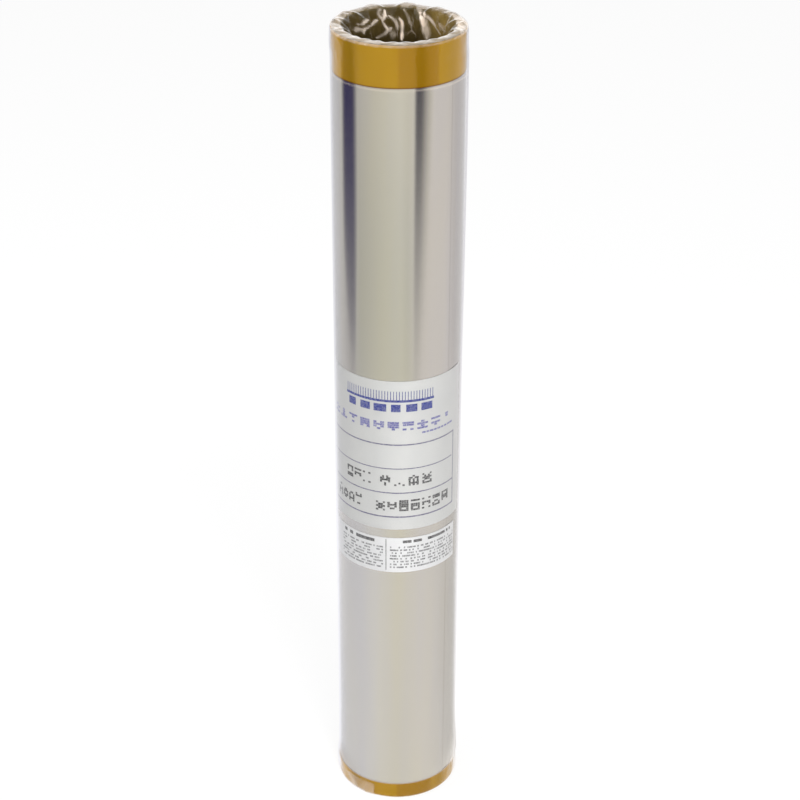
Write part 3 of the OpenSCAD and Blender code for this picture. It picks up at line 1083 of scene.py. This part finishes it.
def makeFilm():
    look = filmLook
    top, crown = relaxEnd(cadHigh.z - rollTop - look["layerGap"], lambda h: rollTop + h, filmEnds["top"])
    bottom = relaxEnd(rollBase - look["layerGap"], lambda h: rollBase - h, filmEnds["bottom"])[0][::2]
    settleCrown(top, crown)
    topWhite = np.maximum(pressCreases(top), look["topWhite"] * bendWhite(top))
    onRim = slice(crown[0] - 1, crown[1] + 2)
    topWhite[onRim] = np.maximum(topWhite[onRim] * look["crownWhite"], rimWhite(top[onRim]))
    bottomWhite = np.maximum(look["bottomWhite"] * bendWhite(bottom), milkyHighlightPatch(bottom))
    top[..., 2] += rollTop
    bottom[..., 2] = rollBase - bottom[..., 2]
    turned = filmAzimuths(2 * look["columns"])
    height = np.linspace(top[0, 0, 2], bottom[0, 0, 2], look["sleeveRows"] + 2)[1:-1, None]
    sleeve = rolled(filmRadius(turned, height), turned, height)
    points = np.concatenate([top[::-1], sleeve, bottom])
    white = np.concatenate([topWhite[::-1], np.zeros(sleeve.shape[:2]), bottomWhite])
    flap = points - gridNormals(points) * look["layerGap"]
    points = np.concatenate([points, flap[:, :look["overlap"]]], axis=1)
    white = np.concatenate([white, white[:, :look["overlap"]]], axis=1)
    film = gridMesh("wrapFilm", points, filmMaterial())
    storeValues(film, "crease", white)
    return finishPiece(film, "clear_film", "wrap_film")


print("sizes: bore %.5f, core %.5f, roll %.5f" % (boreRadius, coreRadius, rollRadius))
amber = tapeMaterial()
makeCore()
makeFoil()
makeBand("topTape", amber)
makeBand("bottomTape", amber)
makeLabel("mainLabel", "main_label")
makeLabel("smallLabel", "small_label")
makePrint()
makeFilm()


# Floor, reflected boards, lamps and camera

floorLook = {
    "reach": 6.0,
    "colour": (0.90, 0.90, 0.90, 1),
    "seenWhite": 0.8,          # share of plain white that the camera and the metal see
    "seenLevel": 1.06,
}

# Tints of the floor as the metal reflects it, and where they lie on it: rings of (azimuth, tint, level)
# close to the roll, further off, and furthest
floorTints = {
    "cool": (0.95, 0.945, 1.0),
    "warm": (1.0, 0.96, 0.84),
    "straw": (1.0, 0.985, 0.79),
    "mild": (1.0, 0.96, 0.92),
    "rosy": (1.0, 0.95, 0.96),
}
floorRings = [
    [(-180, "cool", 1.0), (-100, "cool", 0.91), (-40, "cool", 1.0), (0, "warm", 0.98), (40, "mild", 1.0),
     (75, "mild", 0.95), (125, "mild", 0.7), (180, "cool", 1.0)],
    [(-180, "cool", 0.77), (-130, "cool", 0.75), (-90, "mild", 0.65), (-68, "straw", 0.58),
     (-24, "straw", 0.72), (3, "straw", 0.79), (16, "straw", 0.7), (42, "rosy", 0.9), (93, "rosy", 0.92),
     (115, "rosy", 0.73), (180, "cool", 0.77)],
    [(-180, "cool", 0.77), (-130, "cool", 0.75), (-90, "mild", 0.67), (-68, "mild", 0.7),
     (-24, "warm", 0.9), (3, "warm", 1.0), (16, "warm", 0.9), (59, "rosy", 0.92), (93, "rosy", 0.92),
     (115, "rosy", 0.73), (180, "cool", 0.77)],
]
ringReach = [(0.2, 0.38), (0.6, 0.8)]      # distances between which one gives way to the next


def makeFloor():
    material, tree, result = bareMaterial("paleFloor")
    glossy = nodeValue(tree, "ShaderNodeLightPath", "Is Glossy Ray")
    distance = (place(tree, "X").calc("POWER", 2.0) + place(tree, "Y").calc("POWER", 2.0)).calc("SQRT")
    rings = [[(angle, tuple(level * part for part in floorTints[tint])) for angle, tint, level in ring]
             for ring in floorRings]
    tinted, *others = (aroundLevel(tree, stops) for stops in rings)
    for (start, end), further in zip(ringReach, others):
        away = ((distance - start) / (end - start)).atLeast(0.0).atMost(1.0)
        tinted = blendColour(away, tinted, further)
    matt = addNode(tree, "ShaderNodeBsdfDiffuse", {"Color": floorLook["colour"]})
    glow = addNode(tree, "ShaderNodeEmission", {
        "Color": blendColour(glossy, (1.0, 1.0, 1.0), tinted), "Strength": floorLook["seenLevel"]})
    both = mixShaders(lookingRays(tree) * floorLook["seenWhite"], matt, glow)
    wire(both.outputs[0], result)
    span = floorLook["reach"]
    corners = np.array([[(-span, -span, 0), (span, -span, 0)], [(-span, span, 0), (span, span, 0)]])
    gridMesh("floor", corners, material)


# Boards that only show as dark streaks in the metal. Their sides are (height, left azimuth, right azimuth)
# from the foot up. They are as dark as across says from side to side, and grow darker from the foot up.
boards = {
    "leftBoard": {
        "sides": [(0.001, -90, -80), (0.045, -104, -77), (0.08, -110, -75), (0.5, -111, -74)],
        "bare": (0.66, 0.65, 0.61),
        "colour": (0.055, 0.048, 0.14),
        "across": [(0.0, 0.42), (0.18, 1.0), (0.78, 1.0), (1.0, 0.25)],
        "power": 0.33,
    },
    "rightBoard": {
        "sides": [(0.001, 27, 35), (0.07, 26, 49), (0.168, 26.5, 59), (0.5, 26.5, 57)],
        "bare": (0.87, 0.84, 0.79),
        "colour": (0.08, 0.077, 0.11),
        "across": [(0.0, 0.25), (0.11, 1.0), (0.4, 1.0), (0.75, 0.3), (1.0, 0.05)],
        "power": 1.0,
    },
}
boardLook = {
    "distance": 0.39,
    "fade": 0.145,             # height at which a board is at its darkest
    "columns": 17,
}


def makeBoards():
    for name, look in boards.items():
        material, tree, result = bareMaterial(name)
        across = ramp(nodeValue(tree, "ShaderNodeAttribute", "Fac", attribute_name="across"), look["across"])
        up = (place(tree, "Z") / boardLook["fade"]).atMost(1.0)
        glow = addNode(tree, "ShaderNodeEmission", {
            "Color": blendColour(up.calc("POWER", look["power"]) * across, look["bare"], look["colour"]),
            "Strength": 1.0})
        wire(glow.outputs[0], result)
        shares = np.linspace(0, 1, boardLook["columns"])
        heights, lefts, rights = np.array(look["sides"]).T
        turned = np.radians(lefts + shares[:, None] * (rights - lefts))
        board = gridMesh(name, rolled(boardLook["distance"], turned, heights), material)
        storeValues(board, "across", np.repeat(shares, len(heights)))
        for kind in ("visible_camera", "visible_diffuse", "visible_transmission", "visible_shadow"):
            setattr(board, kind, False)


lamps = {
    "keyLamp": {"size": 0.5, "power": 11.5, "spot": (0.3, -0.88, 1.15), "aim": (0, 0, 0.15)},
    "topLamp": {"size": 0.35, "power": 3.6, "spot": (-0.5, -0.05, 1.1), "aim": (0, 0, 0.3)},
}


def makeLamps():
    for name, look in lamps.items():
        light = bpy.data.lights.new(name, "AREA")
        light.shape = "DISK"
        light.size = look["size"]
        light.energy = look["power"]
        lamp = bpy.data.objects.new(name, light)
        lamp.location = look["spot"]
        lamp.rotation_euler = (Vector(look["aim"]) - Vector(look["spot"])).to_track_quat("-Z", "Y").to_euler()
        lamp.visible_glossy = False
        scene.collection.objects.link(lamp)


worldLevel = 0.48              # light from all round, which the camera and the metal see as plain white


def makeWorld():
    world = bpy.data.worlds.new("studio")
    scene.world = world
    world.use_nodes = True
    tree = world.node_tree
    back = tree.nodes["Background"].inputs
    back["Color"].default_value = (1, 1, 1, 1)
    wire(lookingRays(tree) * (1.0 - worldLevel) + worldLevel, back["Strength"])


# The camera stands close, so the roll narrows towards the floor as it does in the photo
cameraLook = {
    "distance": 662.4 * mm,
    "height": 509.2 * mm,
    "downTilt": 27.72,
    "roll": 0.15,
    "lens": 93.9,
    "sensor": 36,
    "shift": 0.0027,
}


def makeCamera():
    look = cameraLook
    data = bpy.data.cameras.new("photoCamera")
    data.lens = look["lens"]
    data.sensor_width = look["sensor"]
    data.shift_x = look["shift"]
    data.clip_start, data.clip_end = 0.01, 50
    camera = bpy.data.objects.new("photoCamera", data)
    camera.location = (0, -look["distance"], look["height"])
    tilted = Matrix.Rotation(math.radians(90 - look["downTilt"]), 3, "X")
    camera.rotation_euler = (tilted @ Matrix.Rotation(math.radians(look["roll"]), 3, "Z")).to_euler()
    scene.collection.objects.link(camera)
    scene.camera = camera


makeFloor()
makeBoards()
makeWorld()
makeLamps()
makeCamera()
scene.view_settings.view_transform = "Standard"
